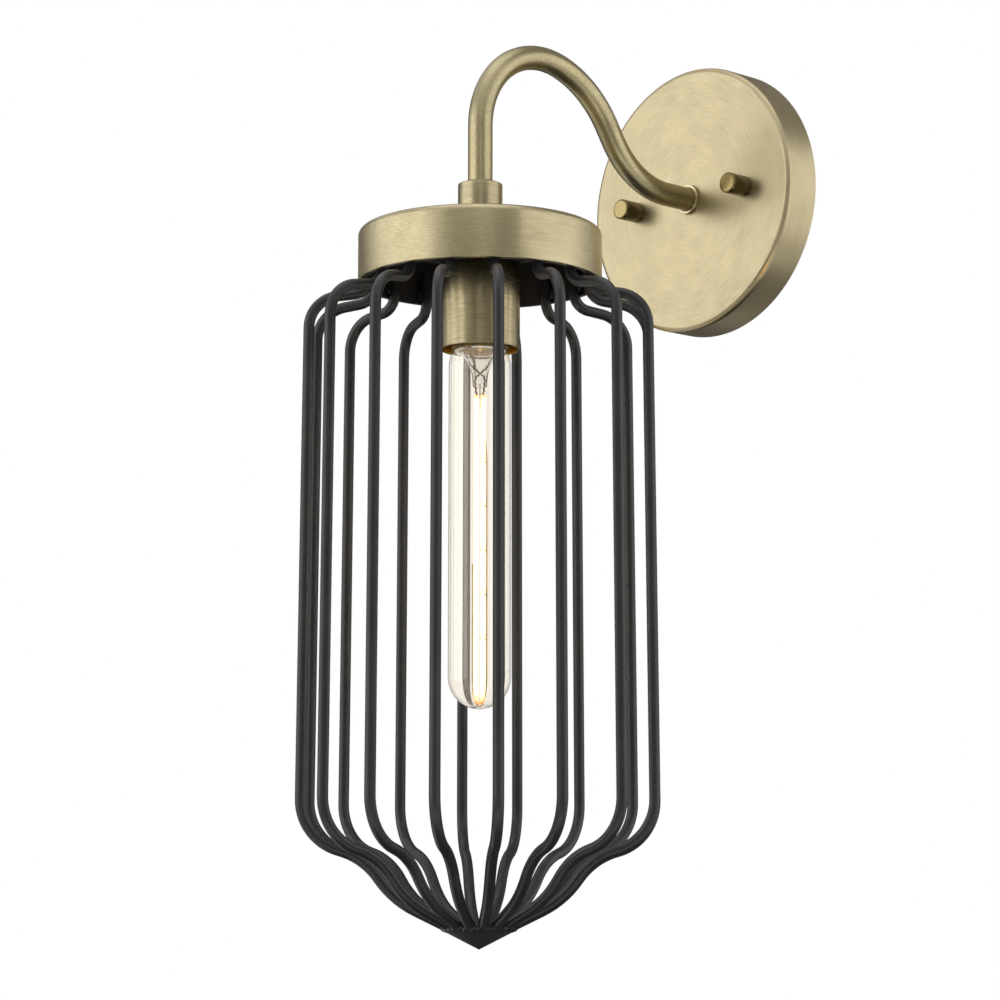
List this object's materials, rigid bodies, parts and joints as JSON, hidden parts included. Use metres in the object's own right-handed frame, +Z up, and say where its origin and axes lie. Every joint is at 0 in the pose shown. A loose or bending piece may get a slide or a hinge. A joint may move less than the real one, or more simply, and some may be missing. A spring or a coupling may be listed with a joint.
{
  "type": "cage wall light",
  "caption": "Wall light with a gooseneck arm on a round canopy, a drum cap, a cage of bent steel bars and a long tubular filament bulb.",
  "frame": {"origin": "centre of the mounting bar on the wall plane, on the axis of the canopy", "axes": "+Z up; +Y into the wall, so that the light reaches out along -Y; +X to the right of someone who faces the wall"},
  "size_m": [0.1571, 0.231, 0.4154],
  "materials": {
    "satin_brass": "brushed antique brass plating under satin lacquer",
    "plain_brass": "bare turned brass",
    "zinc_plate": "bright zinc plated steel",
    "ground_green": "green dyed zinc plating",
    "black_powder_coat": "matte black powder coat on steel",
    "black_moulding": "moulded phenolic",
    "black_insulation": "black lead insulation",
    "white_insulation": "white lead insulation",
    "copper_contact": "tinned copper alloy",
    "clear_glass": "clear glass, very slightly warm",
    "nickel_wire": "nickel wire",
    "filament_glow": "glowing filament"
  },
  "bodies": {
    "fixture": {"mounting_bar": "zinc_plate", "canopy_studs": "zinc_plate", "stud_lock_nuts": "zinc_plate", "ground_screw": "ground_green", "wall_canopy": "satin_brass", "arm_base_ring": "satin_brass", "arm_lock_washer": "zinc_plate", "arm_lock_nut": "plain_brass", "arm_tube": "satin_brass", "lead_live": "black_insulation", "lead_neutral": "white_insulation", "neck_coupling": "satin_brass", "shade_cap": "satin_brass", "cage_pan": "black_powder_coat", "centre_nipple": "zinc_plate", "centre_washer": "zinc_plate", "centre_nut": "plain_brass", "socket_cup": "satin_brass", "lampholder_body": "black_moulding", "lampholder_shell": "satin_brass", "lampholder_contact": "copper_contact", "cage_bar_01": "black_powder_coat", "cage_bar_02": "black_powder_coat", "cage_bar_03": "black_powder_coat", "cage_bar_04": "black_powder_coat", "cage_bar_05": "black_powder_coat", "cage_bar_06": "black_powder_coat", "cage_bar_07": "black_powder_coat", "cage_bar_08": "black_powder_coat", "cage_bar_09": "black_powder_coat", "cage_bar_10": "black_powder_coat", "cage_bar_11": "black_powder_coat", "cage_bar_12": "black_powder_coat", "cage_bar_13": "black_powder_coat", "cage_bar_14": "black_powder_coat", "cage_bar_15": "black_powder_coat", "cage_bar_16": "black_powder_coat", "cage_tip": "black_powder_coat"},
    "bulb": {"bulb_glass": "clear_glass", "bulb_base": "satin_brass", "bulb_insulator": "black_moulding", "bulb_contact": "copper_contact", "bulb_stem": "clear_glass", "bulb_support": "nickel_wire", "bulb_filament": "filament_glow"},
    "cap_nut_left": {"canopy_nut_left": "satin_brass"},
    "cap_nut_right": {"canopy_nut_right": "satin_brass"}
  },
  "joints": [
    {"name": "bulb_unscrew", "type": "slide", "parent": "fixture", "child": "bulb", "axis": [0, 0, -1], "range_m": [0, 0.06]},
    {"name": "canopy_nut_left_off", "type": "slide", "parent": "fixture", "child": "cap_nut_left", "axis": [0, -1, 0], "range_m": [0, 0.02]},
    {"name": "canopy_nut_right_off", "type": "slide", "parent": "fixture", "child": "cap_nut_right", "axis": [0, -1, 0], "range_m": [0, 0.02]}
  ]
}
